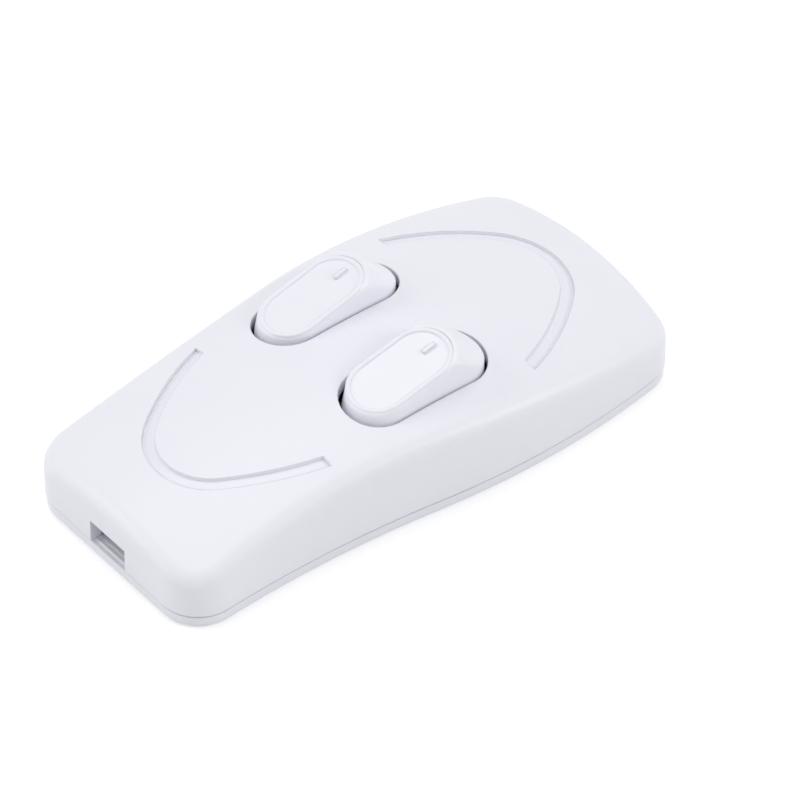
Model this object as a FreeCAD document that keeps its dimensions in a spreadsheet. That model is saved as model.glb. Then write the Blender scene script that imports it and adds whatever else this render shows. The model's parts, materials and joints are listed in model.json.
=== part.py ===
import FreeCAD, Part
import math
import os
import re
import Sketcher
from FreeCAD import Placement, Rotation, Vector

# Inline cord switch with two rocker switches side by side, 68 x 34 x 16 mm.
# The origin is under the middle of the base. +X runs along the cord to the wide end, +Z is up.
# The rockers lie at y = -gangOffset (front) and y = +gangOffset (back), both with their +X end pressed.

sizes = {
    # outline of the housing, seen from above
    "bodyLength": 68.0,
    "bodyWidth": 34.0,
    "waistDepth": 2.7,
    "waistInset": 12.0,
    "flareInset": 20.0,
    "flareShare": 0.414336,
    "farBow": 1.2,
    "bowInset": 2.0,
    "nearCorner": 4.85,
    "farCorner": 4.5,
    # arched and crowned top
    "bodyHeight": 16.0,
    "ridgeRise": 2.85,
    "archRadius": 119.0,
    "crownRadius": 53.4,
    "crownSweep": 80.0,
    "topEdge": 2.1,
    "wall": 1.5,
    # base
    "partingHeight": 1.75,
    "baseFloor": 1.5,
    "baseStep": 0.15,
    "partingDepth": 0.5,
    "bottomEdge": 0.5,
    "lipHeight": 3.4,
    "lipWall": 0.9,
    "lipGap": 0.12,
    # cord entries
    "slotWidth": 6.0,
    "slotTop": 4.7,
    "slotFloor": 1.8,
    "slotGap": 0.1,
    # sunk bands on the top
    "bandDepth": 0.4,
    "nearBandWidth": 1.35,
    "nearBandInset": 6.9,
    "nearBandRadius": 8.0,
    "nearBandSide": 34.0,
    "nearBandTurn": 54.0,
    "nearBandGap": 5.35,
    "farBandWidth": 1.5,
    "farBandInset": 5.9,
    "farBandRadius": 9.2,
    "farBandSide": 30.0,
    "farBandTurn": 46.0,
    "farBandGap": 2.9,
    # rocker openings
    "gangOffset": 7.6,
    "openingX": 1.85,
    "openingLength": 18.5,
    "openingWidth": 8.2,
    "rockerGap": 0.2,
    "endGap": 0.45,
    # rockers, measured from their pivot
    "pivotDrop": 5.8,
    "swingAngle": 14.0,
    "padSlope": 12.5,
    "sideLean": 4.0,
    "ridgeReach": 4.71,
    "ridgeSpread": 0.1,
    "ridgeRadius": 0.9,
    "facetSlope": 45.0,
    "rockerEdge": 0.65,
    "skirtDepth": 2.2,
    "rockerWall": 1.0,
    "rockerEnd": 2.5,
    "rockerRoof": 0.2,
    "pinRadius": 0.8,
    "pinReach": 1.2,
    "pinGap": 0.06,
    "lugWall": 1.3,
    "lugWidth": 4.2,
    "lugDrop": 1.6,
    "rimSide": 0.45,
    "rimNear": 0.8,
    "rimFar": 0.1,
    "padRecess": 0.12,
    "markLength": 1.7,
    "markWidth": 0.5,
    "markHeight": 0.2,
    "markReach": 2.2,
    # plungers and their springs
    "tipGap": 0.1,
    "plungerShoulder": 2.6,
    "plungerRadius": 0.75,
    "plungerHead": 1.15,
    "plungerHeadHeight": 0.6,
    "bossRadius": 1.95,
    "boreRadius": 1.25,
    "springLength": 2.7,
    "springWire": 0.3,
    "springTurns": 4.0,
    "springSteps": 10,
    # seesaw contacts
    "seesawHeight": 4.7,
    "seesawLength": 11.0,
    "seesawWidth": 3.0,
    "seesawThick": 0.5,
    "seesawPin": 0.4,
    "cheekHeight": 1.5,
    "earWall": 0.5,
    "earWidth": 2.0,
    "earGap": 0.1,
    "earHeight": 5.35,
    "rivetReach": 4.4,
    "rivetRadius": 0.95,
    "rivetThick": 0.5,
    "rivetBack": 0.7,
    "rivetShank": 0.5,
    "contactGap": 0.06,
    # brass strips
    "seatHeight": 2.3,
    "stripThick": 0.8,
    "stripWidth": 3.4,
    "stopHeight": 2.4,
    "busWidth": 3.0,
    "busInset": 5.65,
    "terminalInset": 17.0,
    "neutralHeight": 4.4,
    "neutralWidth": 2.6,
    # screws
    "screwHead": 2.0,
    "screwHeadHeight": 1.3,
    "screwShank": 1.2,
    "screwLength": 2.0,
    "washerSize": 4.2,
    "washerThick": 0.5,
    "recessWidth": 0.5,
    "recessLength": 2.8,
    "recessDepth": 0.7,
    # cord clamps
    "clampInset": 6.5,
    "clampSpan": 5.6,
    "clampWidth": 4.0,
    "clampThick": 1.5,
    "clampDrop": 5.2725,
    "clampBoss": 2.0,
    "clampLift": 0.4,
    "clampScrewLength": 4.0,
    # case screws
    "caseInset": 11.0,
    "caseNearSide": 7.0,
    "caseFarSide": 5.4,
    "caseHead": 2.2,
    "caseHeadHeight": 1.6,
    "caseSink": 0.3,
    "caseShank": 1.2,
    "caseCover": 4.65,
    "caseBoss": 2.7,
    "bossSplit": 4.2,
    "screwGap": 0.5,
    # walls between the terminals
    "barrierWall": 0.8,
    "barrierHeight": 6.2,
    "barrierInset": 13.0,
    "barrierOffset": 3.9,
    "nearBarrierEnd": 7.0,
    "farBarrierEnd": 14.0,
}

doc = FreeCAD.newDocument("InlineCordSwitch")
sheet = doc.addObject("Spreadsheet::Sheet", "Sizes")
for row, (alias, number) in enumerate(sizes.items(), start=1):
    sheet.set(f"A{row}", alias)
    sheet.set(f"B{row}", str(number))
    sheet.setAlias(f"B{row}", alias)
doc.recompute()

xAxis = Vector(1, 0, 0)
yAxis = Vector(0, 1, 0)
zAxis = Vector(0, 0, 1)
parts = []
touch = 0.01


def bound(text):
    """Names of sizes in an expression become references to the sheet."""
    return re.sub(r"[A-Za-z]\w*", lambda m: "Sizes." + m[0] if m[0] in sizes else m[0], text)


def bind(thing, **paths):
    """Binds properties to expressions; a double underscore in a name stands for a dot."""
    for path, text in paths.items():
        thing.setExpression(path.replace("__", "."), bound(str(text)))
    return thing


def place(thing, x="0", y="0", z="0"):
    return bind(thing, Placement__Base__x=x, Placement__Base__y=y, Placement__Base__z=z)


# Solids from primitives and booleans

def box(name, length, width, height, x, y, z):
    """A box centred on x and y that stands on z."""
    solid = doc.addObject("Part::Box", name)
    bind(solid, Length=length, Width=width, Height=height)
    return place(solid, f"{x} - ({length}) / 2", f"{y} - ({width}) / 2", z)


def cylinder(name, radius, height, x, y, z):
    solid = doc.addObject("Part::Cylinder", name)
    bind(solid, Radius=radius, Height=height)
    return place(solid, x, y, z)


def cross_pin(name, radius, length, x, y, z):
    """A cylinder along Y, centred on y."""
    solid = cylinder(name, radius, length, x, f"{y} + ({length}) / 2", z)
    solid.Placement.Rotation = Rotation(xAxis, 90)
    return solid


def fuse(name, *solids):
    joined = doc.addObject("Part::MultiFuse", name)
    joined.Shapes = list(solids)
    joined.Refine = True
    return joined


def cut(name, base, *tools):
    left = doc.addObject("Part::Cut", name)
    left.Base = base
    left.Tool = tools[0] if len(tools) == 1 else fuse(name + "Tools", *tools)
    left.Refine = True
    return left


def common(name, first, second):
    shared = doc.addObject("Part::Common", name)
    shared.Base = first
    shared.Tool = second
    shared.Refine = True
    return shared


def group(name, *solids):
    """Separate solids that make one sub-part, such as a set of like screws."""
    compound = doc.addObject("Part::Compound", name)
    compound.Links = list(solids)
    return compound


def part(node, thing):
    thing.Label = node
    parts.append(thing)
    return thing


def turned(thing, angle, x, y, z, axis=yAxis):
    """Turns a solid that is drawn about its own origin, and moves that origin to x, y, z."""
    thing.Placement.Rotation = Rotation(axis, 0.1)
    bind(thing, Placement__Rotation__Angle=angle)
    return place(thing, x, y, z)


# Sketches and their features

def sketch_on(body, name, role):
    sketch = body.newObject("Sketcher::SketchObject", name)
    plane = next(p for p in body.Origin.OriginFeatures if p.Role == role)
    sketch.AttachmentSupport = (plane, [""])
    sketch.MapMode = "FlatFace"
    return sketch


def hold(sketch, kind, *where, to=None):
    """Adds a constraint; to is the expression that its value follows."""
    value = [] if to is None else [sheet_value(to)]
    index = sketch.addConstraint(Sketcher.Constraint(kind, *where, *value))
    if to is not None:
        sketch.setExpression(f"Constraints[{index}]", bound(to))


def sheet_value(text):
    """The number that an expression has now."""
    probe = doc.getObject("Probe") or doc.addObject("App::FeaturePython", "Probe")
    if not hasattr(probe, "Number"):
        probe.addProperty("App::PropertyFloat", "Number")
    probe.setExpression("Number", bound(text))
    probe.recompute()
    return probe.Number


def arc(centre, radius, first, last):
    """An arc from one angle to another, in degrees, counter-clockwise."""
    circle = Part.Circle(Vector(*centre, 0), zAxis, radius)
    return Part.ArcOfCircle(circle, math.radians(first), math.radians(last))


def line(start, end):
    return Part.LineSegment(Vector(*start, 0), Vector(*end, 0))


def angle_of(centre, point):
    return math.degrees(math.atan2(point[1] - centre[1], point[0] - centre[0]))


def feature(body, kind, name, profile, **paths):
    made = body.newObject("PartDesign::" + kind, name)
    made.Profile = profile
    bind(made, **paths)
    profile.Visibility = False
    return made


def fillet_edges(body, name, radius, test):
    """Rounds the edges of the body's last feature that pass the test."""
    doc.recompute()
    last = body.Tip
    names = [f"Edge{i}" for i, edge in enumerate(last.Shape.Edges, start=1) if test(edge)]
    rounded = body.newObject("PartDesign::Fillet", name)
    rounded.Base = (last, names)
    bind(rounded, Radius=radius)
    return rounded


def is_upright(edge):
    ends = [v.Point for v in edge.Vertexes]
    return len(ends) == 2 and abs(ends[0].x - ends[1].x) + abs(ends[0].y - ends[1].y) < touch


# The housing's form: a waisted outline under an arch that is also crowned across

waistX = "(waistInset - bodyLength / 2)"
flareX = "(bodyLength / 2 - flareInset)"
bendRadius = f"((({flareX} - {waistX})^2 + waistDepth^2) / (2 * waistDepth))"
flareRadius = f"({bendRadius} * flareShare)"
waistRadius = f"({bendRadius} * (1 - flareShare))"
crestHeight = "(bodyHeight - ridgeRise)"
bowRadius = "((bodyWidth / 2 - bowInset)^2 + farBow^2) / (2 * farBow)"


def outline_sketch(body, inset):
    """Closed outline, moved in by inset all round."""
    sketch = sketch_on(body, body.Name + "Outline", "XY_Plane")
    inset = f"({inset})"
    step = sheet_value(inset)
    nearX = sheet_value("-bodyLength / 2") + step
    farX = sheet_value("bodyLength / 2") - step
    waistR = sheet_value(waistRadius)
    flareR = sheet_value(flareRadius)
    bowR = sheet_value(bowRadius)
    waistC = (sheet_value(waistX), sheet_value("bodyWidth / 2 - waistDepth") + waistR)
    flareC = (sheet_value(flareX), sheet_value("bodyWidth / 2") - flareR)
    bowC = (farX + step - bowR, 0)
    joint = [flareC[i] + (waistC[i] - flareC[i]) * flareR / (flareR + waistR) for i in (0, 1)]
    nearY = waistC[1] - math.sqrt((waistR + step)**2 - (nearX - waistC[0])**2)
    # the far corner is where the flare meets the bowed end
    gap = (bowC[0] - flareC[0], bowC[1] - flareC[1])
    apart = math.hypot(*gap)
    along = (apart**2 + (flareR - step)**2 - (bowR - step)**2) / (2 * apart)
    aside = math.sqrt((flareR - step)**2 - along**2)
    corner = (flareC[0] + (gap[0] * along - gap[1] * aside) / apart,
              flareC[1] + (gap[1] * along + gap[0] * aside) / apart)
    if corner[0] < flareC[0]:
        corner = (flareC[0] + (gap[0] * along + gap[1] * aside) / apart,
                  flareC[1] + (gap[1] * along - gap[0] * aside) / apart)

    def down(point):
        return point[0], -point[1]

    sketch.addGeometry(line((nearX, -nearY), (nearX, nearY)))
    sketch.addGeometry(arc(waistC, waistR + step, angle_of(waistC, (nearX, nearY)), angle_of(waistC, joint)))
    sketch.addGeometry(arc(flareC, flareR - step, angle_of(flareC, corner), angle_of(flareC, joint)))
    sketch.addGeometry(arc(bowC, bowR - step, angle_of(bowC, down(corner)), angle_of(bowC, corner)))
    lowFlare = down(flareC)
    lowWaist = down(waistC)
    sketch.addGeometry(arc(lowFlare, flareR - step, angle_of(lowFlare, down(joint)),
                           angle_of(lowFlare, down(corner))))
    sketch.addGeometry(arc(lowWaist, waistR + step, angle_of(lowWaist, down(joint)),
                           angle_of(lowWaist, (nearX, -nearY))))
    near, waist, flare, bow, flareLow, waistLow = range(6)
    hold(sketch, "Coincident", near, 2, waist, 1)
    hold(sketch, "Tangent", waist, 2, flare, 2)
    hold(sketch, "Coincident", flare, 1, bow, 2)
    hold(sketch, "Coincident", bow, 1, flareLow, 2)
    hold(sketch, "Tangent", flareLow, 1, waistLow, 1)
    hold(sketch, "Coincident", waistLow, 2, near, 1)
    hold(sketch, "Vertical", near)
    hold(sketch, "DistanceX", -1, 1, near, 1, to=f"-bodyLength / 2 + {inset}")
    hold(sketch, "PointOnObject", bow, 3, -1)
    hold(sketch, "Radius", bow, to=f"{bowRadius} - {inset}")
    hold(sketch, "DistanceX", -1, 1, bow, 3, to=f"bodyLength / 2 - {bowRadius}")
    for arcs, sign in ((waist, flare), "1"), ((waistLow, flareLow), "-1"):
        hold(sketch, "DistanceX", -1, 1, arcs[0], 3, to=waistX)
        hold(sketch, "Radius", arcs[0], to=f"{waistRadius} + {inset}")
        hold(sketch, "DistanceX", -1, 1, arcs[1], 3, to=flareX)
        hold(sketch, "DistanceY", -1, 1, arcs[1], 3, to=f"{sign} * (bodyWidth / 2 - {flareRadius})")
        hold(sketch, "Radius", arcs[1], to=f"{flareRadius} - {inset}")
    return sketch


def arch_sketch(body, inset):
    """What lies above the arched top, as a profile to turn about the crown's own axis."""
    sketch = sketch_on(body, body.Name + "Arch", "XZ_Plane")
    inset = f"({inset})"
    radius = sheet_value(f"archRadius - {inset}")
    centreZ = sheet_value(f"{crestHeight} - archRadius")
    reach = sheet_value("bodyLength / 2 + topEdge")
    lowZ = centreZ + math.sqrt(radius**2 - reach**2)
    highZ = sheet_value("bodyHeight * 2")
    axisZ = sheet_value(f"{crestHeight} - crownRadius")
    sketch.addGeometry(arc((0, centreZ), radius, angle_of((0, centreZ), (reach, lowZ)),
                           angle_of((0, centreZ), (-reach, lowZ))))
    sketch.addGeometry(line((-reach, lowZ), (-reach, highZ)))
    sketch.addGeometry(line((-reach, highZ), (reach, highZ)))
    sketch.addGeometry(line((reach, highZ), (reach, lowZ)))
    sketch.addGeometry(line((-reach, axisZ), (reach, axisZ)), True)
    arch, left, roof, right, axis = range(5)
    hold(sketch, "Coincident", arch, 2, left, 1)
    hold(sketch, "Coincident", left, 2, roof, 1)
    hold(sketch, "Coincident", roof, 2, right, 1)
    hold(sketch, "Coincident", right, 2, arch, 1)
    hold(sketch, "Vertical", left)
    hold(sketch, "Vertical", right)
    hold(sketch, "Horizontal", roof)
    hold(sketch, "Horizontal", axis)
    hold(sketch, "PointOnObject", arch, 3, -2)
    hold(sketch, "Radius", arch, to=f"archRadius - {inset}")
    hold(sketch, "DistanceY", -1, 1, arch, 3, to=f"{crestHeight} - archRadius")
    hold(sketch, "DistanceX", -1, 1, right, 1, to="bodyLength / 2 + topEdge")
    hold(sketch, "DistanceX", -1, 1, left, 1, to="-(bodyLength / 2 + topEdge)")
    hold(sketch, "DistanceY", -1, 1, roof, 1, to="bodyHeight * 2")
    hold(sketch, "DistanceY", -1, 1, axis, 1, to=f"{crestHeight} - crownRadius")
    hold(sketch, "DistanceX", -1, 1, axis, 1, to="-bodyLength / 2")
    hold(sketch, "DistanceX", -1, 1, axis, 2, to="bodyLength / 2")
    return sketch


def plate(name, inset, height, bottom="0"):
    """A flat plate of the outline with rounded corners."""
    body = doc.addObject("PartDesign::Body", name)
    feature(body, "Pad", name + "Pad", outline_sketch(body, inset), Length=height)
    place(body, z=bottom)
    fillet_edges(body, name + "NearCorners", f"nearCorner - ({inset})",
                 lambda e: is_upright(e) and e.CenterOfMass.x < 0)
    fillet_edges(body, name + "FarCorners", f"farCorner - ({inset})",
                 lambda e: is_upright(e) and e.CenterOfMass.x > sheet_value(flareX))
    return body


def blank(name, inset):
    """The housing's whole form, moved in by inset."""
    body = plate(name, inset, "bodyHeight")
    groove = feature(body, "Groove", name + "Top", arch_sketch(body, inset))
    groove.ReferenceAxis = (groove.Profile[0], ["Axis0"])
    bind(groove, Angle="crownSweep")
    groove.Midplane = True
    return body


# Rocker openings: rounded slots through the top, and the rockers' own outline a gap smaller

def rounded_slot(name, length, width, height, x, y, z):
    """An upright slot form with round ends along X, centred on x and y, from z up."""
    straight = f"({length} - ({width}))"
    middle = box(name + "Middle", straight, width, height, x, y, z)
    ends = [cylinder(name + f"End{sign}", f"({width}) / 2", height, f"{x} + {sign} * {straight} / 2", y, z)
            for sign in (-1, 1)]
    return fuse(name, middle, *ends)


def band(name, apex, facing, radius, side, turn, end, width):
    """A sunk band seen from above: an arc round the apex that runs on in two wider arcs to its ends."""
    height = sheet_value("bodyHeight")
    outer = []
    inner = []
    for rim, inset in ((outer, 0), (inner, width)):
        middle = Vector(apex - facing * radius, 0, 0)
        bend = math.radians(turn)
        away = Vector(facing * math.cos(bend), math.sin(bend), 0)
        wide = middle - away * (side - radius)
        reach = side - inset
        tip = Vector(end, wide.y + math.sqrt(reach**2 - (end - wide.x)**2), 0)
        join = wide + away * reach
        halfway = (math.atan2(join.y - wide.y, join.x - wide.x) + math.atan2(tip.y - wide.y, tip.x - wide.x)) / 2
        over = wide + Vector(math.cos(halfway), math.sin(halfway), 0) * reach
        rim += [tip, over, join, Vector(apex - facing * inset, 0, 0)]

    def mirrored(point):
        return Vector(point.x, -point.y, 0)

    def edges(rim):
        tip, over, join, peak = rim
        return [Part.Arc(tip, over, join).toShape(), Part.Arc(join, peak, mirrored(join)).toShape(),
                Part.Arc(mirrored(join), mirrored(over), mirrored(tip)).toShape()]

    ends = [Part.makeLine(outer[0], inner[0]), Part.makeLine(mirrored(outer[0]), mirrored(inner[0]))]
    wire = Part.Wire(Part.__sortEdges__(edges(outer) + edges(inner) + ends))
    solid = doc.addObject("Part::Feature", name)
    solid.Shape = Part.Face(wire).extrude(Vector(0, 0, height))
    return solid


# Places inside the housing, each an inset from its ends or sides, or a drop from its crest

pivotHeight = "(bodyHeight - pivotDrop)"
caseScrewTop = f"({crestHeight} - caseCover)"
caseLength = f"({caseScrewTop} - caseSink - caseHeadHeight)"
caseScrewX = "(bodyLength / 2 - caseInset)"
caseScrewPlaces = (
    ("Near", f"-{caseScrewX}", "bodyWidth / 2 - caseNearSide"),
    ("Far", caseScrewX, "caseFarSide - bodyWidth / 2"),
)
clampX = "(bodyLength / 2 - clampInset)"
clampHeight = f"({crestHeight} - {clampX}^2 / (2 * archRadius) - clampDrop)"
clampPlaces = (("near", f"-{clampX}"), ("far", clampX))
gangs = (("front", "-1"), ("back", "1"))
terminalX = "(bodyLength / 2 - terminalInset)"
busX = f"({terminalX} - busInset)"
barrierReach = "(bodyLength / 2 - barrierInset)"
terminalEnd = f"({terminalX} + washerSize / 2 + slotGap + stripThick)"
terminalPlaces = (
    ("LoadFront", f"-{terminalX}", "-gangOffset", "seatHeight"),
    ("LoadBack", f"-{terminalX}", "gangOffset", "seatHeight"),
    ("Line", terminalX, "-gangOffset", "seatHeight"),
    ("NeutralNear", f"-{terminalX}", "0", "neutralHeight"),
    ("NeutralFar", terminalX, "0", "neutralHeight"),
)


def gang_y(sign, aside="0"):
    return f"{sign} * (gangOffset + ({aside}))"


def make_cover():
    outer = blank("CoverForm", "0")
    fillet_edges(outer, "CoverTopEdge", "topEdge",
                 lambda e: not is_upright(e) and e.BoundBox.ZMin > sheet_value("partingHeight"))
    inner = blank("CoverHollow", "wall")
    openings = [rounded_slot("Opening" + gang, "openingLength", "openingWidth", "bodyHeight",
                             "openingX", gang_y(sign), "0") for gang, sign in gangs]
    entries = [box("Entry" + end, "2 * (farBow + 2 * wall)", "slotWidth", "slotTop", f"{sign} * bodyLength / 2",
                   "0", "0") for end, sign in (("Near", "-1"), ("Far", "1"))]
    below = box("CoverBelow", "2 * bodyLength", "2 * bodyWidth", "partingHeight", "0", "0", "0")
    bandFloor = blank("BandFloor", "bandDepth")
    bands = fuse("Bands",
                 band("NearBand", sheet_value("nearBandInset - bodyLength / 2"), -1, sizes["nearBandRadius"],
                      sizes["nearBandSide"], sizes["nearBandTurn"],
                      sheet_value("openingX - openingLength / 2 - nearBandGap"), sizes["nearBandWidth"]),
                 band("FarBand", sheet_value("bodyLength / 2 - farBandInset"), 1, sizes["farBandRadius"],
                      sizes["farBandSide"], sizes["farBandTurn"],
                      sheet_value("openingX + openingLength / 2 + farBandGap"), sizes["farBandWidth"]))
    sunk = cut("SunkBands", bands, bandFloor)
    shell = cut("CoverShell", outer, inner)

    # lugs under the top that hold the rockers' pins, and bosses for the case screws
    lugs = []
    holes = []
    for gang, sign in gangs:
        for side, way in (("In", "-1"), ("Out", "1")):
            aside = f"{way} * (openingWidth / 2 + lugWall / 2)"
            lugs.append(box("Lug" + gang + side, "lugWidth", "lugWall", f"{crestHeight} - {pivotHeight} + lugDrop",
                            "openingX", gang_y(sign, aside), f"{pivotHeight} - lugDrop"))
        holes.append(cross_pin("PinHole" + gang, "pinRadius + pinGap", "openingWidth + 2 * (lugWall + pinGap)",
                               "openingX", gang_y(sign), pivotHeight))
    bosses = []
    for end, x, y in caseScrewPlaces:
        bosses.append(cylinder("CoverBoss" + end, "caseBoss", f"{crestHeight} - bossSplit", x, y,
                               "bossSplit"))
        holes.append(cylinder("ScrewHole" + end, "caseShank", f"{caseScrewTop} - bossSplit + screwGap",
                              x, y, "bossSplit"))
    inside = common("CoverInside", fuse("CoverLugs", *lugs, *bosses), blank("LugLimit", "wall / 2"))
    whole = fuse("CoverWhole", shell, inside)
    return part("top_cover", cut("TopCover", whole, *openings, *entries, below, sunk, *holes))


def make_base():
    floor = plate("BaseFloor", "baseStep", "baseFloor")
    fillet_edges(floor, "BaseBottomEdge", "bottomEdge", lambda e: e.BoundBox.ZMax < touch)
    rim = plate("BaseRim", "baseStep + partingDepth", "partingHeight - baseFloor", "baseFloor")
    lip = cut("BaseLip", plate("LipOut", "wall + lipGap", "lipHeight - baseFloor", "baseFloor"),
              plate("LipIn", "wall + lipGap + lipWall", "lipHeight", "baseFloor"))
    hollow = plate("RimHollow", "wall + lipGap + lipWall", "baseFloor", "baseFloor")
    solids = [floor, cut("BaseRimRing", rim, hollow)]
    entries = [box("LipEntry" + end, "2 * (farBow + wall + lipGap + 2 * lipWall)", "slotWidth", "lipHeight",
                   f"{sign} * bodyLength / 2", "0", "partingHeight") for end, sign in (("Near", "-1"), ("Far", "1"))]
    solids.append(cut("BaseLipCut", lip, *entries))
    for end, sign in (("Near", "-1"), ("Far", "1")):
        solids.append(box("EntryFloor" + end, "2 * wall", "slotWidth - 2 * slotGap", "slotFloor - baseFloor",
                          f"{sign} * (bodyLength / 2 - farBow - wall)", "0", "baseFloor"))
    holes = []
    for end, x, y in caseScrewPlaces:
        solids.append(cylinder("BaseBoss" + end, "caseBoss", "bossSplit - baseFloor - contactGap", x, y, "baseFloor"))
        holes.append(cylinder("HeadHole" + end, "caseHead + slotGap", "caseSink + caseHeadHeight", x, y, "0"))
        holes.append(cylinder("ShankHole" + end, "caseShank + slotGap", "bossSplit", x, y, "0"))
    for end, x in clampPlaces:
        for side in ("-1", "1"):
            solids.append(cylinder(f"ClampBoss{end}{side}", "clampBoss", f"{clampHeight} - baseFloor",
                                   x, f"{side} * clampSpan", "baseFloor"))
            holes.append(cylinder(f"ClampHole{end}{side}", "screwShank", f"{clampHeight} - baseFloor",
                                  x, f"{side} * clampSpan", "baseFloor"))
        for nth in ("-1", "0", "1"):
            solids.append(box(f"CordRib{end}{nth}", "barrierWall", "slotWidth", "slotFloor - baseFloor",
                              f"{x} + {nth} * 2 * barrierWall", "0", "baseFloor"))
    for name, x, y, top in terminalPlaces:
        solids.append(cylinder("Seat" + name, "screwHead", f"{top} - baseFloor", x, y, "baseFloor"))
        holes.append(cylinder("SeatHole" + name, "screwShank", f"{top} - baseFloor", x, y, "baseFloor"))
    for gang, sign in gangs:
        solids.append(box("SaddleSeat" + gang, "busWidth", "stripWidth", "seatHeight - baseFloor",
                          "openingX", gang_y(sign), "baseFloor"))
        solids.append(box("ContactSeat" + gang, "busWidth", "stripWidth", "seatHeight - baseFloor",
                          "openingX - rivetReach", gang_y(sign), "baseFloor"))
        solids.append(box("BusSeat" + gang, "busWidth", "stripWidth", "seatHeight - baseFloor",
                          busX, gang_y(sign), "baseFloor"))
        solids.append(box("NearBarrier" + gang, f"{barrierReach} - nearBarrierEnd", "barrierWall",
                          "barrierHeight - baseFloor", f"-({barrierReach} + nearBarrierEnd) / 2",
                          f"{sign} * barrierOffset", "baseFloor"))
        solids.append(box("FarBarrier" + gang, f"{barrierReach} - farBarrierEnd", "barrierWall",
                          "barrierHeight - baseFloor", f"({barrierReach} + farBarrierEnd) / 2",
                          f"{sign} * barrierOffset", "baseFloor"))
    return part("base_shell", cut("BaseShell", fuse("BaseWhole", *solids), *holes))


# Rockers, drawn about their pivot. The pad slopes up to a bowed ridge, beyond which the top falls away as a cone.
# The pad's plane crosses the upright through the pivot at padRise, and leans outwards by sideLean.

halfRocker = "(openingWidth / 2 - rockerGap)"
flatRadius = f"({halfRocker} + ridgeSpread)"
uphill = "(sin(padSlope) * cos(sideLean))"
padRise = ("(pivotDrop - ridgeRadius * (1 - cos(padSlope) * cos(sideLean))"
           f" - (ridgeReach - {flatRadius}) * {uphill} - {flatRadius} * sqrt({uphill}^2 + sin(sideLean)^2))")
padNear = "((openingLength / 2 - endGap - rimNear) / cos(padSlope))"
padFar = "(ridgeReach - rimFar)"
plungerTip = f"({pivotHeight} - seesawHeight - seesawThick - tipGap)"
boreTop = "(springLength + springWire + plungerHeadHeight - plungerShoulder)"


def crest_sketch(body):
    """Half of the bowed end's side view, turned about its upright axis: the flat, the ridge and the cone."""
    sketch = sketch_on(body, body.Name + "Profile", "XZ_Plane")
    flat = sheet_value(flatRadius)
    radius = sheet_value("ridgeRadius")
    fall = math.radians(sheet_value("padSlope + facetSlope"))
    depth = sheet_value("bodyHeight")
    coneTop = (flat + radius * math.sin(fall), radius * math.cos(fall) - radius)
    coneEnd = (coneTop[0] + (depth + coneTop[1]) / math.tan(fall), -depth)
    sketch.addGeometry(line((0, 0), (flat, 0)))
    sketch.addGeometry(arc((flat, -radius), radius, 90 - math.degrees(fall), 90))
    sketch.addGeometry(line(coneTop, coneEnd))
    sketch.addGeometry(line(coneEnd, (0, -depth)))
    sketch.addGeometry(line((0, -depth), (0, 0)))
    pad, crest, cone, floor, axis = range(5)
    hold(sketch, "Coincident", pad, 1, -1, 1)
    hold(sketch, "Horizontal", pad)
    hold(sketch, "Tangent", pad, 2, crest, 2)
    hold(sketch, "Tangent", crest, 1, cone, 1)
    hold(sketch, "Coincident", cone, 2, floor, 1)
    hold(sketch, "Coincident", floor, 2, axis, 1)
    hold(sketch, "Coincident", axis, 2, -1, 1)
    hold(sketch, "Horizontal", floor)
    hold(sketch, "Vertical", axis)
    hold(sketch, "DistanceX", -1, 1, pad, 2, to=flatRadius)
    hold(sketch, "Radius", crest, to="ridgeRadius")
    hold(sketch, "DistanceX", crest, 3, crest, 1, to="ridgeRadius * sin(padSlope + facetSlope)")
    hold(sketch, "DistanceY", -1, 1, axis, 1, to="-bodyHeight")
    return sketch


def on_pad(name, solid, sign):
    """Moves a solid that is drawn on the level to the pad's plane."""
    moved = group(name, solid)
    slope = Rotation(yAxis, -sheet_value("padSlope"))
    lean = Rotation(xAxis, -float(sign) * sheet_value("sideLean"))
    moved.Placement = Placement(Vector(), lean.multiply(slope))
    return place(moved, "0", "0", padRise)


def is_top_edge(edge, shape):
    """A crease round the top of a rocker, not a line where its surfaces run on smoothly."""
    middle = edge.valueAt((edge.FirstParameter + edge.LastParameter) / 2)
    normals = [face.normalAt(*face.Surface.parameter(middle)) for face in shape.ancestorsOfType(edge, Part.Face)]
    crease = len(normals) == 2 and normals[0].getAngle(normals[1]) > touch
    return crease and edge.BoundBox.ZMin > sheet_value("rockerRoof")


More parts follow.
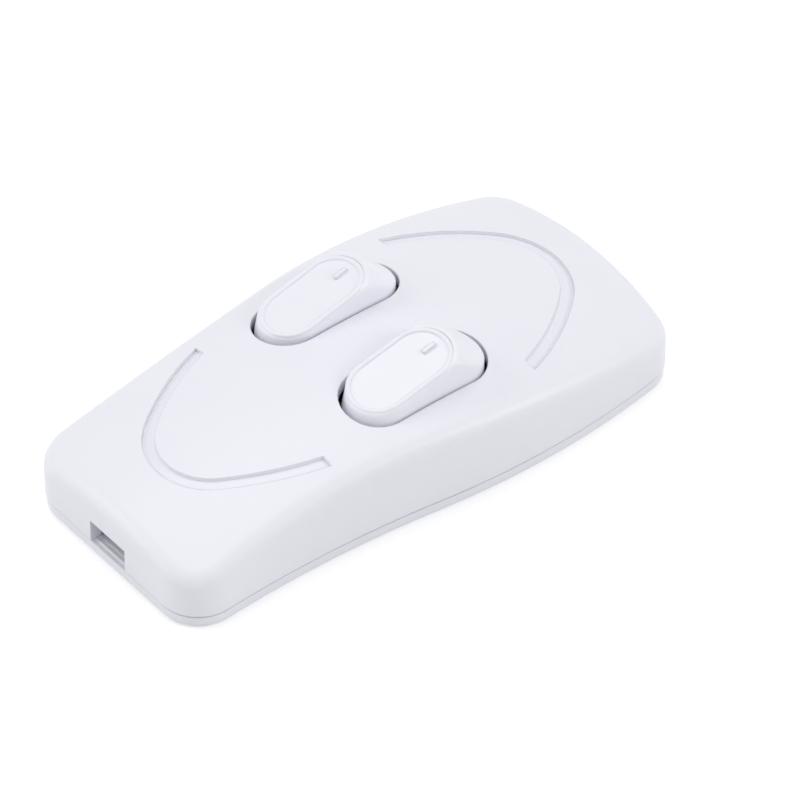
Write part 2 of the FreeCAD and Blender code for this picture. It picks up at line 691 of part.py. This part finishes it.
def make_rocker(gang, sign):
    crest = doc.addObject("PartDesign::Body", "RockerCrest" + gang)
    turn = feature(crest, "Revolution", "RockerCone" + gang, crest_sketch(crest))
    turn.ReferenceAxis = (turn.Profile[0], ["V_Axis"])
    place(crest, f"ridgeReach - {flatRadius}")
    slab = box("RockerSlab" + gang, "2 * openingLength", "2 * openingWidth", "bodyHeight",
               f"ridgeReach - {flatRadius} - openingLength", "0", "-bodyHeight")
    top = on_pad("RockerTop" + gang, fuse("RockerTopForm" + gang, slab, crest), sign)
    # upright round-ended limits at rest and at the far end of the swing keep the rocker inside its opening
    limits = [rounded_slot(f"Rocker{pose}{gang}", "openingLength - 2 * endGap", "openingWidth - 2 * rockerGap",
                           "bodyHeight + skirtDepth", "0", "0", "-skirtDepth") for pose in ("Rest", "Swung")]
    swung = turned(group("RockerLimit" + gang, limits[1]), "swingAngle", "0", "0", "0")
    form = common("RockerForm" + gang, common("RockerTrim" + gang, top, limits[0]), swung)
    doc.recompute()
    rounded = doc.addObject("PartDesign::Body", "RockerRounded" + gang)
    rounded.BaseFeature = form
    fillet_edges(rounded, "RockerEdges" + gang, "rockerEdge", lambda e: is_top_edge(e, rounded.Tip.Shape))

    # the pad is sunk inside a rim and carries a raised mark
    sink = rounded_slot("Sink" + gang, f"{padNear} + {padFar}", f"2 * ({halfRocker} - rimSide)",
                        "bodyHeight", f"({padFar} - {padNear}) / 2", "0", "-padRecess")
    mark = box("Mark" + gang, "markLength", "markWidth", "markHeight + 2 * padRecess", "markReach", "0",
               "-2 * padRecess")
    sunk = cut("RockerSunk" + gang, rounded, on_pad("OnPadSink" + gang, sink, sign))

    # hollow underside with a tilted boss, whose bore guides the plunger
    hollow = rounded_slot("RockerHollow" + gang, "openingLength - 2 * endGap - 2 * rockerEnd",
                          "openingWidth - 2 * rockerGap - 2 * rockerWall", "2 * skirtDepth", "0", "0",
                          "rockerRoof - 2 * skirtDepth")
    boss = turned(group("Boss" + gang, cylinder("BossForm" + gang, "bossRadius", "skirtDepth + rockerRoof",
                                                "0", "0", "-skirtDepth")), "swingAngle / 2", "0", "0", "0")
    bore = turned(group("Bore" + gang, cylinder("BoreForm" + gang, "boreRadius", f"{boreTop} + 2 * skirtDepth",
                                                "0", "0", "-2 * skirtDepth")), "swingAngle / 2", "0", "0", "0")
    pins = [cross_pin(f"Pin{gang}{side}", "pinRadius", "pinReach + rockerWall / 2", "0",
                      f"{side} * (openingWidth / 2 - rockerGap + pinReach / 2 - rockerWall / 4)", "0")
            for side in ("-1", "1")]
    whole = fuse("RockerWhole" + gang, cut("RockerShell" + gang, sunk, hollow), boss,
                 on_pad("OnPadMark" + gang, mark, sign), *pins)
    rocker = group("Rocker" + gang, cut("RockerCut" + gang, whole, bore))
    return part("rocker_" + gang, place(rocker, "openingX", gang_y(sign), pivotHeight))


# Inside a rocker: plunger and spring, drawn about the pivot and tilted with the rocker

def on_rocker(name, solid, sign):
    return turned(group(name, solid), "swingAngle / 2", "openingX", gang_y(sign), pivotHeight)


def make_plunger(gang, sign):
    shank = cylinder("PlungerShank" + gang, "plungerRadius", f"{plungerTip} - plungerShoulder - plungerRadius",
                     "0", "0", f"plungerRadius - {plungerTip}")
    head = cylinder("PlungerHead" + gang, "plungerHead", "plungerHeadHeight", "0", "0", "-plungerShoulder")
    tip = doc.addObject("Part::Sphere", "PlungerTip" + gang)
    place(bind(tip, Radius="plungerRadius"), z=f"plungerRadius - {plungerTip}")
    return part("plunger_" + gang, on_rocker("Plunger" + gang, fuse("PlungerForm" + gang, shank, head, tip), sign))


def make_spring(gang, sign):
    radius = sheet_value("plungerHead - springWire / 2")
    steps = round(sheet_value("springTurns * springSteps"))
    rise = sheet_value("springLength") / steps
    corners = []
    for step in range(steps + 1):
        turn = math.radians(360 * step / sheet_value("springSteps"))
        corners.append(Vector(radius * math.cos(turn), radius * math.sin(turn), rise * step))
    coil = doc.addObject("Part::Feature", "SpringLine" + gang)
    coil.Shape = Part.makePolygon(corners)
    section = doc.addObject("Part::Feature", "SpringSection" + gang)
    facing = Rotation(zAxis, corners[1] - corners[0])
    spoke = Vector(sheet_value("springWire / 2"), 0, 0)
    section.Shape = Part.makePolygon([corners[0] + facing.multVec(Rotation(zAxis, 60 * k).multVec(spoke))
                                      for k in range(7)])
    wire = doc.addObject("Part::Sweep", "SpringWire" + gang)
    wire.Sections = [section]
    wire.Spine = (coil, [])
    wire.Solid = True
    wire.Transition = "Right corner"
    place(wire, z="plungerHeadHeight + springWire / 2 - plungerShoulder")
    return part("plunger_spring_" + gang, on_rocker("Spring" + gang, wire, sign))


# Seesaw contacts, drawn about their own pivot with the near end down

def on_seesaw(name, solid, sign):
    return turned(group(name, solid), "-swingAngle / 2", "openingX", gang_y(sign), "seesawHeight")


def make_seesaw(gang, sign):
    strip = box("SeesawStrip" + gang, "seesawLength", "seesawWidth", "seesawThick", "0", "0", "0")
    pin = cross_pin("SeesawPin" + gang, "seesawPin", "seesawWidth + 2 * (earGap + earWall + earGap)", "0", "0", "0")
    cheeks = [box(f"SeesawCheek{gang}{side}", "seesawWidth", "seesawThick", "cheekHeight", "0",
                  f"{side} * (seesawWidth - seesawThick) / 2", "0") for side in ("-1", "1")]
    hole = cylinder("SeesawHole" + gang, "rivetShank", "seesawThick", "-rivetReach", "0", "0")
    whole = cut("SeesawForm" + gang, fuse("SeesawWhole" + gang, strip, pin, *cheeks), hole)
    part("seesaw_contact_" + gang, on_seesaw("Seesaw" + gang, whole, sign))
    rivet = fuse("MovingRivetForm" + gang,
                 cylinder("RivetHead" + gang, "rivetRadius", "rivetThick", "-rivetReach", "0", "-rivetThick"),
                 cylinder("RivetShank" + gang, "rivetShank", "seesawThick", "-rivetReach", "0", "0"),
                 cylinder("RivetBack" + gang, "rivetBack", "rivetThick / 2", "-rivetReach", "0",
                          "seesawThick"))
    part("moving_rivet_" + gang, on_seesaw("MovingRivet" + gang, rivet, sign))


# Brass strips on the base

def make_load_terminal(gang, sign):
    y = gang_y(sign)
    start = "(openingX - rivetReach + busWidth / 2)"
    end = f"(-{terminalEnd})"
    strip = box("LoadStrip" + gang, f"{start} - {end}", "stripWidth", "stripThick",
                f"({start} + {end}) / 2", y, "seatHeight")
    stop = box("LoadStop" + gang, "stripThick", "stripWidth", "stopHeight", f"{end} + stripThick / 2", y,
               "seatHeight")
    holes = [cylinder("LoadScrewHole" + gang, "screwShank", "stripThick", f"-{terminalX}", y,
                      "seatHeight"),
             cylinder("LoadRivetHole" + gang, "rivetShank", "stripThick", "openingX - rivetReach", y,
                      "seatHeight")]
    part("load_terminal_" + gang, cut("LoadTerminal" + gang, fuse("LoadForm" + gang, strip, stop), *holes))
    lowest = "(rivetReach + rivetRadius) * sin(swingAngle / 2) + rivetThick * cos(swingAngle / 2)"
    top = f"(seesawHeight - ({lowest}) - contactGap)"
    part("fixed_rivet_" + gang,
         fuse("FixedRivet" + gang,
              cylinder("FixedRivetHead" + gang, "rivetRadius", f"{top} - seatHeight - stripThick",
                       "openingX - rivetReach", y, "seatHeight + stripThick"),
              cylinder("FixedRivetShank" + gang, "rivetShank", "stripThick", "openingX - rivetReach", y,
                       "seatHeight")))


def make_line_busbar():
    saddle = "(seesawWidth + 2 * (earGap + earWall))"
    solids = [box("BusCross", "busWidth", "2 * gangOffset + stripWidth", "stripThick", busX, "0", "seatHeight")]
    holes = []
    for gang, sign in gangs:
        y = gang_y(sign)
        solids.append(box("BusArm" + gang, f"{busX} + busWidth / 2 - openingX", "stripWidth", "stripThick",
                          f"(openingX + {busX} + busWidth / 2) / 2", y, "seatHeight"))
        solids.append(box("BusSaddle" + gang, "busWidth", saddle, "stripThick", "openingX", y, "seatHeight"))
        for side in ("-1", "1"):
            solids.append(box(f"BusEar{gang}{side}", "earWidth", "earWall", "earHeight - seatHeight", "openingX",
                              gang_y(sign, f"{side} * ({saddle} - earWall) / 2"), "seatHeight"))
        holes.append(cross_pin("EarHole" + gang, "seesawPin + pinGap", "2 * seesawWidth", "openingX", y,
                               "seesawHeight"))
    solids.append(box("BusTail", f"{terminalEnd} - {busX}", "stripWidth", "stripThick",
                      f"({terminalEnd} + {busX}) / 2", "-gangOffset", "seatHeight"))
    solids.append(box("BusStop", "stripThick", "stripWidth", "stopHeight", f"{terminalEnd} - stripThick / 2",
                      "-gangOffset", "seatHeight"))
    holes.append(cylinder("BusScrewHole", "screwShank", "stripThick", terminalX, "-gangOffset",
                          "seatHeight"))
    part("line_busbar", cut("LineBusbar", fuse("BusForm", *solids), *holes))


def make_neutral_bar():
    reach = f"2 * {terminalEnd}"
    bar = box("NeutralStrip", reach, "neutralWidth", "stripThick", "0", "0", "neutralHeight")
    holes = [cylinder("NeutralHole" + sign, "screwShank", "stripThick", f"{sign} * {terminalX}", "0",
                      "neutralHeight") for sign in ("-1", "1")]
    pads = [box("NeutralPad" + sign, "washerSize", "stripWidth", "stripThick", f"{sign} * {terminalX}", "0",
                "neutralHeight") for sign in ("-1", "1")]
    part("neutral_bar", cut("NeutralBar", fuse("NeutralForm", bar, *pads), *holes))


# Screws, washers and cord clamps

def screw(name, head, headHeight, shank, length, x, y, z, up=True):
    """A screw whose head bears on height z, with a cross recess; its head is above z, or below if not up."""
    headBottom = z if up else f"{z} - ({headHeight})"
    shankBottom = f"{z} - ({length})" if up else z
    recessBottom = f"{z} + {headHeight} - recessDepth" if up else f"{z} - ({headHeight})"
    form = fuse(name + "Form", cylinder(name + "Head", head, headHeight, x, y, headBottom),
                cylinder(name + "Shank", shank, length, x, y, shankBottom))
    slots = [box(name + "SlotX", "recessLength", "recessWidth", "recessDepth", x, y, recessBottom),
             box(name + "SlotY", "recessWidth", "recessLength", "recessDepth", x, y, recessBottom)]
    return cut(name, form, *slots)


def make_terminal_fasteners():
    screws = []
    washers = []
    for name, x, y, top in terminalPlaces:
        screws.append(screw("TerminalScrew" + name, "screwHead", "screwHeadHeight", "screwShank", "screwLength",
                            x, y, f"{top} + stripThick + washerThick"))
        washer = box("Washer" + name, "washerSize", "washerSize", "washerThick", x, y, f"{top} + stripThick")
        hole = cylinder("WasherHole" + name, "screwShank", "washerThick", x, y, f"{top} + stripThick")
        washers.append(cut("TerminalWasher" + name, washer, hole))
    part("terminal_screws", group("TerminalScrews", *screws))
    part("terminal_washers", group("TerminalWashers", *washers))


def make_cord_clamp(end, x):
    middle = box("ClampMiddle" + end, "clampWidth", "2 * clampSpan", "clampThick", x, "0", clampHeight)
    rounds = [cylinder(f"ClampEnd{end}{side}", "clampWidth / 2", "clampThick", x, f"{side} * clampSpan",
                       clampHeight) for side in ("-1", "1")]
    holes = [cylinder(f"ClampBarHole{end}{side}", "screwShank", "clampThick", x, f"{side} * clampSpan",
                      clampHeight) for side in ("-1", "1")]
    channel = box("ClampChannel" + end, "2 * clampWidth", "slotWidth", "clampLift", x, "0", clampHeight)
    part("cord_clamp_" + end, cut("CordClamp" + end, fuse("ClampForm" + end, middle, *rounds), channel, *holes))


def make_clamp_screws():
    screws = [screw(f"ClampScrew{end}{side}", "screwHead", "screwHeadHeight", "screwShank", "clampScrewLength",
                    x, f"{side} * clampSpan", f"{clampHeight} + clampThick")
              for end, x in clampPlaces for side in ("-1", "1")]
    part("clamp_screws", group("ClampScrews", *screws))


def make_case_screws():
    screws = [screw("CaseScrew" + end, "caseHead", "caseHeadHeight", "caseShank", caseLength, x, y,
                    "caseSink + caseHeadHeight", up=False) for end, x, y in caseScrewPlaces]
    part("case_screws", group("CaseScrews", *screws))


def build():
    make_cover()
    make_base()
    for gang, sign in gangs:
        make_rocker(gang, sign)
        make_plunger(gang, sign)
        make_spring(gang, sign)
        make_seesaw(gang, sign)
        make_load_terminal(gang, sign)
    make_line_busbar()
    make_neutral_bar()
    make_terminal_fasteners()
    for end, x in clampPlaces:
        make_cord_clamp(end, x)
    make_clamp_screws()
    make_case_screws()


def export():
    doc.recompute()
    failed = [thing.Name for thing in doc.Objects if {"Invalid", "Error"} & set(thing.State)]
    failed += [thing.Label for thing in parts if thing.Shape.isNull() or not thing.Shape.isValid()]
    if failed:
        raise RuntimeError("failed: " + ", ".join(failed))
    os.makedirs("parts", exist_ok=True)
    for thing in parts:
        thing.Shape.exportStep(f"parts/{thing.Label}.step")
        bounds = thing.Shape.optimalBoundingBox()
        print(f"{thing.Label}: {len(thing.Shape.Solids)} solid(s), {thing.Shape.Volume:.1f} mm3,",
              f"x {bounds.XMin:.2f}..{bounds.XMax:.2f}, y {bounds.YMin:.2f}..{bounds.YMax:.2f},",
              f"z {bounds.ZMin:.2f}..{bounds.ZMax:.2f}")


build()
export()
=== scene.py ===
import bpy
import json
import math
from mathutils import Matrix, Vector


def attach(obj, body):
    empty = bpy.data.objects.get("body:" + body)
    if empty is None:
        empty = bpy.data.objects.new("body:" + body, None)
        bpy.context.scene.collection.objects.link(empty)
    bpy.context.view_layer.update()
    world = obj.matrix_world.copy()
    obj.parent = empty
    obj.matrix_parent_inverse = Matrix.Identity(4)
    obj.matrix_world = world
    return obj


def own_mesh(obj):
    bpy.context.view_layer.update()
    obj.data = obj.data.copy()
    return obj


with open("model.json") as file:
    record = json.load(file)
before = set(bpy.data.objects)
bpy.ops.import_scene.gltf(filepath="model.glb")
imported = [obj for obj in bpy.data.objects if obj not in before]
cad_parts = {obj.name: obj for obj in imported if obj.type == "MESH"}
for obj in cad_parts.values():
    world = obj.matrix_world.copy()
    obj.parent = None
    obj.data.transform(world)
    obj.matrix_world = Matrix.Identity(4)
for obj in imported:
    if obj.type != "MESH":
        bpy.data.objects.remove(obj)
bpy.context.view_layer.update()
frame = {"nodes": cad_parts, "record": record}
mm = 0.001
print("frame loaded:", len(frame["nodes"]), "nodes")


# Materials

def linearColor(hexText):
    channels = [int(hexText[i:i + 2], 16) / 255 for i in (1, 3, 5)]
    return tuple(c / 12.92 if c <= 0.04045 else ((c + 0.055) / 1.055) ** 2.4 for c in channels) + (1.0,)


def addNode(owner, kind, settings=None, inputs=None):
    node = owner.node_tree.nodes.new("ShaderNode" + kind)
    for name, value in (settings or {}).items():
        setattr(node, name, value)
    for name, value in (inputs or {}).items():
        if isinstance(value, bpy.types.NodeSocket):
            owner.node_tree.links.new(value, node.inputs[name])
        else:
            node.inputs[name].default_value = value
    return node


def newMaterial(name):
    material = bpy.data.materials.new(name)
    material.use_nodes = True
    return material, material.node_tree.nodes["Principled BSDF"]


def link(material, output, shader, socket):
    material.node_tree.links.new(output, shader.inputs[socket])


def objectPlace(material):
    return addNode(material, "TexCoord").outputs["Object"]


# Values that all the plastics share: the size in mm of the faint clouds in their colour, and how finely edges are rounded
plasticSkin = {"cloudSize": 9, "cloudDetail": 2.0, "grainDetail": 3.0, "grainRoughness": 0.6, "edgeSamples": 6}


# plastic with the fine grain of its mould and softly rounded edges; grain, depth and edge are in millimetres
def mouldedPlastic(name, color, tint, roughness, spread, grain, depth, edge, ior=1.53):
    material, shader = newMaterial(name)
    place = objectPlace(material)
    shader.inputs["IOR"].default_value = ior
    cloud = addNode(material, "TexNoise", inputs={"Vector": place, "Scale": 1 / (plasticSkin["cloudSize"] * mm),
                                                  "Detail": plasticSkin["cloudDetail"]})
    mix = addNode(material, "Mix", {"data_type": "RGBA"}, {"Factor": cloud.outputs["Fac"]})
    mix.inputs["A"].default_value = linearColor(color)
    mix.inputs["B"].default_value = linearColor(tint)
    link(material, mix.outputs["Result"], shader, "Base Color")
    fine = addNode(material, "TexNoise", inputs={"Vector": place, "Scale": 1 / (grain * mm),
                                                 "Detail": plasticSkin["grainDetail"],
                                                 "Roughness": plasticSkin["grainRoughness"]})
    sheen = addNode(material, "MapRange", inputs={"Value": fine.outputs["Fac"], "To Min": roughness - spread,
                                                  "To Max": roughness + spread})
    link(material, sheen.outputs["Result"], shader, "Roughness")
    soft = addNode(material, "Bevel", {"samples": plasticSkin["edgeSamples"]}, {"Radius": edge * mm})
    bump = addNode(material, "Bump", inputs={"Height": fine.outputs["Fac"], "Distance": depth * mm, "Strength": 1.0,
                                             "Normal": soft.outputs["Normal"]})
    link(material, bump.outputs["Normal"], shader, "Normal")
    return material


# Values that all the metals share
metalSkin = {"grainDetail": 3.0, "bumpStrength": 0.6}


# drawn or stamped metal; grain and depth are in millimetres, and the grain is stretched along X
def metal(name, color, dull, roughness, spread, grain, stretch, depth):
    material, shader = newMaterial(name)
    place = objectPlace(material)
    shader.inputs["Metallic"].default_value = 1.0
    along = addNode(material, "Mapping", inputs={"Vector": place, "Scale": (1 / stretch, 1.0, 1.0)})
    fine = addNode(material, "TexNoise", inputs={"Vector": along.outputs["Vector"], "Scale": 1 / (grain * mm),
                                                 "Detail": metalSkin["grainDetail"]})
    mix = addNode(material, "Mix", {"data_type": "RGBA"}, {"Factor": fine.outputs["Fac"]})
    mix.inputs["A"].default_value = linearColor(color)
    mix.inputs["B"].default_value = linearColor(dull)
    link(material, mix.outputs["Result"], shader, "Base Color")
    sheen = addNode(material, "MapRange", inputs={"Value": fine.outputs["Fac"], "To Min": roughness - spread,
                                                  "To Max": roughness + spread})
    link(material, sheen.outputs["Result"], shader, "Roughness")
    bump = addNode(material, "Bump", inputs={"Height": fine.outputs["Fac"], "Distance": depth * mm,
                                             "Strength": metalSkin["bumpStrength"]})
    link(material, bump.outputs["Normal"], shader, "Normal")
    return material


# ABS moulded in a spark-eroded tool: an even satin skin with no sharp reflection
satinAbs = mouldedPlastic("satinAbs", "#F0F1F8", "#EDEEF6", 0.37, 0.07, 0.22, 0.020, 0.22)
# ABS moulded in a lapped tool: smoother than the housing, with a soft broad highlight
lappedAbs = mouldedPlastic("lappedAbs", "#F1F2F9", "#EFF0F8", 0.30, 0.03, 0.9, 0.0006, 0.30)
# nylon clamp bars: slightly warm and dull
mouldedNylon = mouldedPlastic("mouldedNylon", "#E1E0DC", "#DBDAD5", 0.50, 0.06, 0.3, 0.008, 0.15, 1.52)
# stamped brass strip: warm yellow with faint rolling lines
stampedBrass = metal("stampedBrass", "#E0BC6A", "#C9A052", 0.28, 0.06, 0.12, 8.0, 0.002)
# silver contact faces: bright, slightly brushed
contactSilver = metal("contactSilver", "#F2F0EA", "#DDDAD3", 0.22, 0.05, 0.15, 1.0, 0.002)
# zinc plated steel screws: cool grey with a fine crystalline sheen
zincPlate = metal("zincPlate", "#C9CDD2", "#B2B7BD", 0.34, 0.07, 0.2, 1.0, 0.004)
# drawn spring wire: darker steel
springWire = metal("springWire", "#A9ABAE", "#8C8E92", 0.30, 0.06, 0.1, 4.0, 0.002)

finishes = {"cover_plastic": satinAbs, "base_plastic": satinAbs, "rocker_plastic": lappedAbs, "brass": stampedBrass,
            "silver": contactSilver, "zinc_steel": zincPlate, "spring_steel": springWire,
            "clamp_plastic": mouldedNylon}


def dress(thing, material):
    thing.data.materials.clear()
    thing.data.materials.append(material)


for subpart in frame["record"]["subparts"]:
    dress(frame["nodes"][subpart["node"]], finishes[subpart["material_slot"]])

# The bead round each rocker's sunk pad, in mm and degrees: an oval on the pad's sloping plane, whose centre is measured
# along the slope from above the pivot
padRim = {"halfLength": 6.22, "halfWidth": 3.4, "centre": -1.93, "beadWidth": 0.30, "beadHeight": 0.21, "sink": 0.10,
          "rise": 14.916, "pivotX": 1.85, "gangY": 7.6, "slope": 12.5, "lean": 4.0, "segments": 128,
          "beadSegments": 16, "middleBand": 0.01}


def selectVertices(mesh, test):
    bpy.ops.mesh.select_all(action="DESELECT")
    bpy.ops.object.mode_set(mode="OBJECT")
    for vertex in mesh.vertices:
        vertex.select = test(vertex.co)
    bpy.ops.object.mode_set(mode="EDIT")


def makePadRim(side, way):
    bpy.ops.object.select_all(action="DESELECT")
    bpy.ops.mesh.primitive_torus_add(major_radius=padRim["halfWidth"] * mm, minor_radius=padRim["beadWidth"] * mm,
                                     major_segments=padRim["segments"], minor_segments=padRim["beadSegments"])
    rim = bpy.context.object
    rim.name = "padRim_" + side
    bpy.ops.object.mode_set(mode="EDIT")
    bpy.ops.mesh.select_mode(type="VERT")
    bpy.ops.transform.resize(value=(1, 1, padRim["beadHeight"] / padRim["beadWidth"]))
    stretch = (padRim["halfLength"] - padRim["halfWidth"]) * mm
    for end in (-1, 1):  # each half moves outwards, and straight runs join them
        selectVertices(rim.data, lambda place: place.x * end > padRim["middleBand"] * mm)
        bpy.ops.transform.translate(value=(end * stretch, 0, 0))
    bpy.ops.object.mode_set(mode="OBJECT")
    onPad = Matrix.Translation((padRim["centre"] * mm, 0, -padRim["sink"] * mm))
    slope = Matrix.Rotation(math.radians(-padRim["slope"]), 4, "Y")
    lean = Matrix.Rotation(math.radians(-way * padRim["lean"]), 4, "X")
    aboutPivot = Matrix.Translation((padRim["pivotX"] * mm, way * padRim["gangY"] * mm, padRim["rise"] * mm))
    rim.matrix_world = aboutPivot @ lean @ slope @ onPad
    bpy.ops.object.transform_apply(location=True, rotation=True, scale=True)
    bpy.ops.object.shade_smooth()
    dress(rim, lappedAbs)
    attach(rim, "rocker_body_" + side)


for side, way in (("front", -1), ("back", 1)):
    makePadRim(side, way)
print("pad rims made")

for side in ("front", "back"):
    spring = frame["nodes"]["plunger_spring_" + side]
    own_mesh(spring)

# Camera, as the photograph was taken: angles in degrees, sizes in pixels of an 800 pixel frame
view = {"azimuth": 38.97, "elevation": 43.37, "focal": 7034.67, "pixelsPerMm": 9.1453, "originX": 356.01,
        "originY": 429.73, "frame": 800, "sensor": 36.0}
turn = math.radians(view["azimuth"])
tip = math.radians(view["elevation"])
toRight = Vector((math.cos(turn), -math.sin(turn), 0))
toUp = Vector((math.sin(turn) * math.sin(tip), math.cos(turn) * math.sin(tip), math.cos(tip)))
ahead = Vector((math.sin(turn) * math.cos(tip), math.cos(turn) * math.cos(tip), -math.sin(tip)))
distance = view["focal"] / view["pixelsPerMm"] * mm
aside = (view["originX"] - view["frame"] / 2) / view["pixelsPerMm"] * mm
above = (view["frame"] / 2 - view["originY"]) / view["pixelsPerMm"] * mm
lens = bpy.data.cameras.new("photoLens")
lens.sensor_width = view["sensor"]
lens.lens = view["focal"] / view["frame"] * view["sensor"]
camera = bpy.data.objects.new("photoCamera", lens)
bpy.context.collection.objects.link(camera)
eye = -toRight * aside - toUp * above - ahead * distance
camera.matrix_world = Matrix.Translation(eye) @ Matrix((toRight, toUp, -ahead)).transposed().to_4x4()
bpy.context.scene.camera = camera
print("camera at", [round(v, 4) for v in eye])

# Studio: pale floor, even sky and soft boxes; power in watts, sizes in metres. Each box has its place, size and power
studio = {"floorSize": 3.0, "floorDrop": 0.0001, "floorColor": "#E6E6E6", "floorRoughness": 0.9, "floorLift": 0.40,
          "skyStrength": 0.64,
          "boxes": (("overheadBox", (0.08, 0.25, 0.90), 0.50, 1.4), ("keyBox", (-0.62, 0.62, 0.62), 0.30, 1.2),
                    ("frontBox", (0.62, -0.86, 0.64), 0.50, 3.1), ("endBox", (-0.86, 0.46, 0.30), 0.40, 0.95))}

bpy.ops.object.select_all(action="DESELECT")
bpy.ops.mesh.primitive_plane_add(size=studio["floorSize"], location=(0, 0, -studio["floorDrop"]))
floor = bpy.context.object
floor.name = "studioFloor"
paper, paperShader = newMaterial("studioPaper")
paperShader.inputs["Roughness"].default_value = studio["floorRoughness"]
paperShader.inputs["Specular IOR Level"].default_value = 0.0
paperShader.inputs["Base Color"].default_value = linearColor(studio["floorColor"])
rays = addNode(paper, "LightPath")
glow = addNode(paper, "Emission", inputs={"Color": (1.0, 1.0, 1.0, 1.0)})
seen = addNode(paper, "Math", {"operation": "MAXIMUM"}, {0: rays.outputs["Is Camera Ray"],
                                                         1: rays.outputs["Is Glossy Ray"]})
lift = addNode(paper, "Math", {"operation": "MULTIPLY"}, {0: seen.outputs["Value"], 1: studio["floorLift"]})
paper.node_tree.links.new(lift.outputs["Value"], glow.inputs["Strength"])
both = addNode(paper, "AddShader", inputs={0: paperShader.outputs["BSDF"], 1: glow.outputs["Emission"]})
paper.node_tree.links.new(both.outputs["Shader"], paper.node_tree.nodes["Material Output"].inputs["Surface"])
dress(floor, paper)

for name, spot, size, power in studio["boxes"]:
    light = bpy.data.lights.new(name, "AREA")
    light.shape = "SQUARE"
    light.size = size
    light.energy = power
    lamp = bpy.data.objects.new(name, light)
    bpy.context.collection.objects.link(lamp)
    lamp.location = spot
    lamp.rotation_euler = (-Vector(spot)).to_track_quat("-Z", "Y").to_euler()

world = bpy.data.worlds.new("studioSky")
world.use_nodes = True
bpy.context.scene.world = world
sky = world.node_tree.nodes["Background"]
paths = addNode(world, "LightPath")
direct = addNode(world, "Math", {"operation": "MAXIMUM"}, {0: paths.outputs["Is Camera Ray"],
                                                           1: paths.outputs["Is Transmission Ray"]})
mirrored = addNode(world, "Math", {"operation": "MAXIMUM"}, {0: direct.outputs["Value"],
                                                             1: paths.outputs["Is Glossy Ray"]})
level = addNode(world, "MapRange", inputs={"Value": mirrored.outputs["Value"], "To Min": studio["skyStrength"],
                                           "To Max": 1.0})
world.node_tree.links.new(level.outputs["Result"], sky.inputs["Strength"])
sky.inputs["Color"].default_value = (1.0, 1.0, 1.0, 1.0)
bpy.context.scene.view_settings.view_transform = "Standard"
print("studio ready")
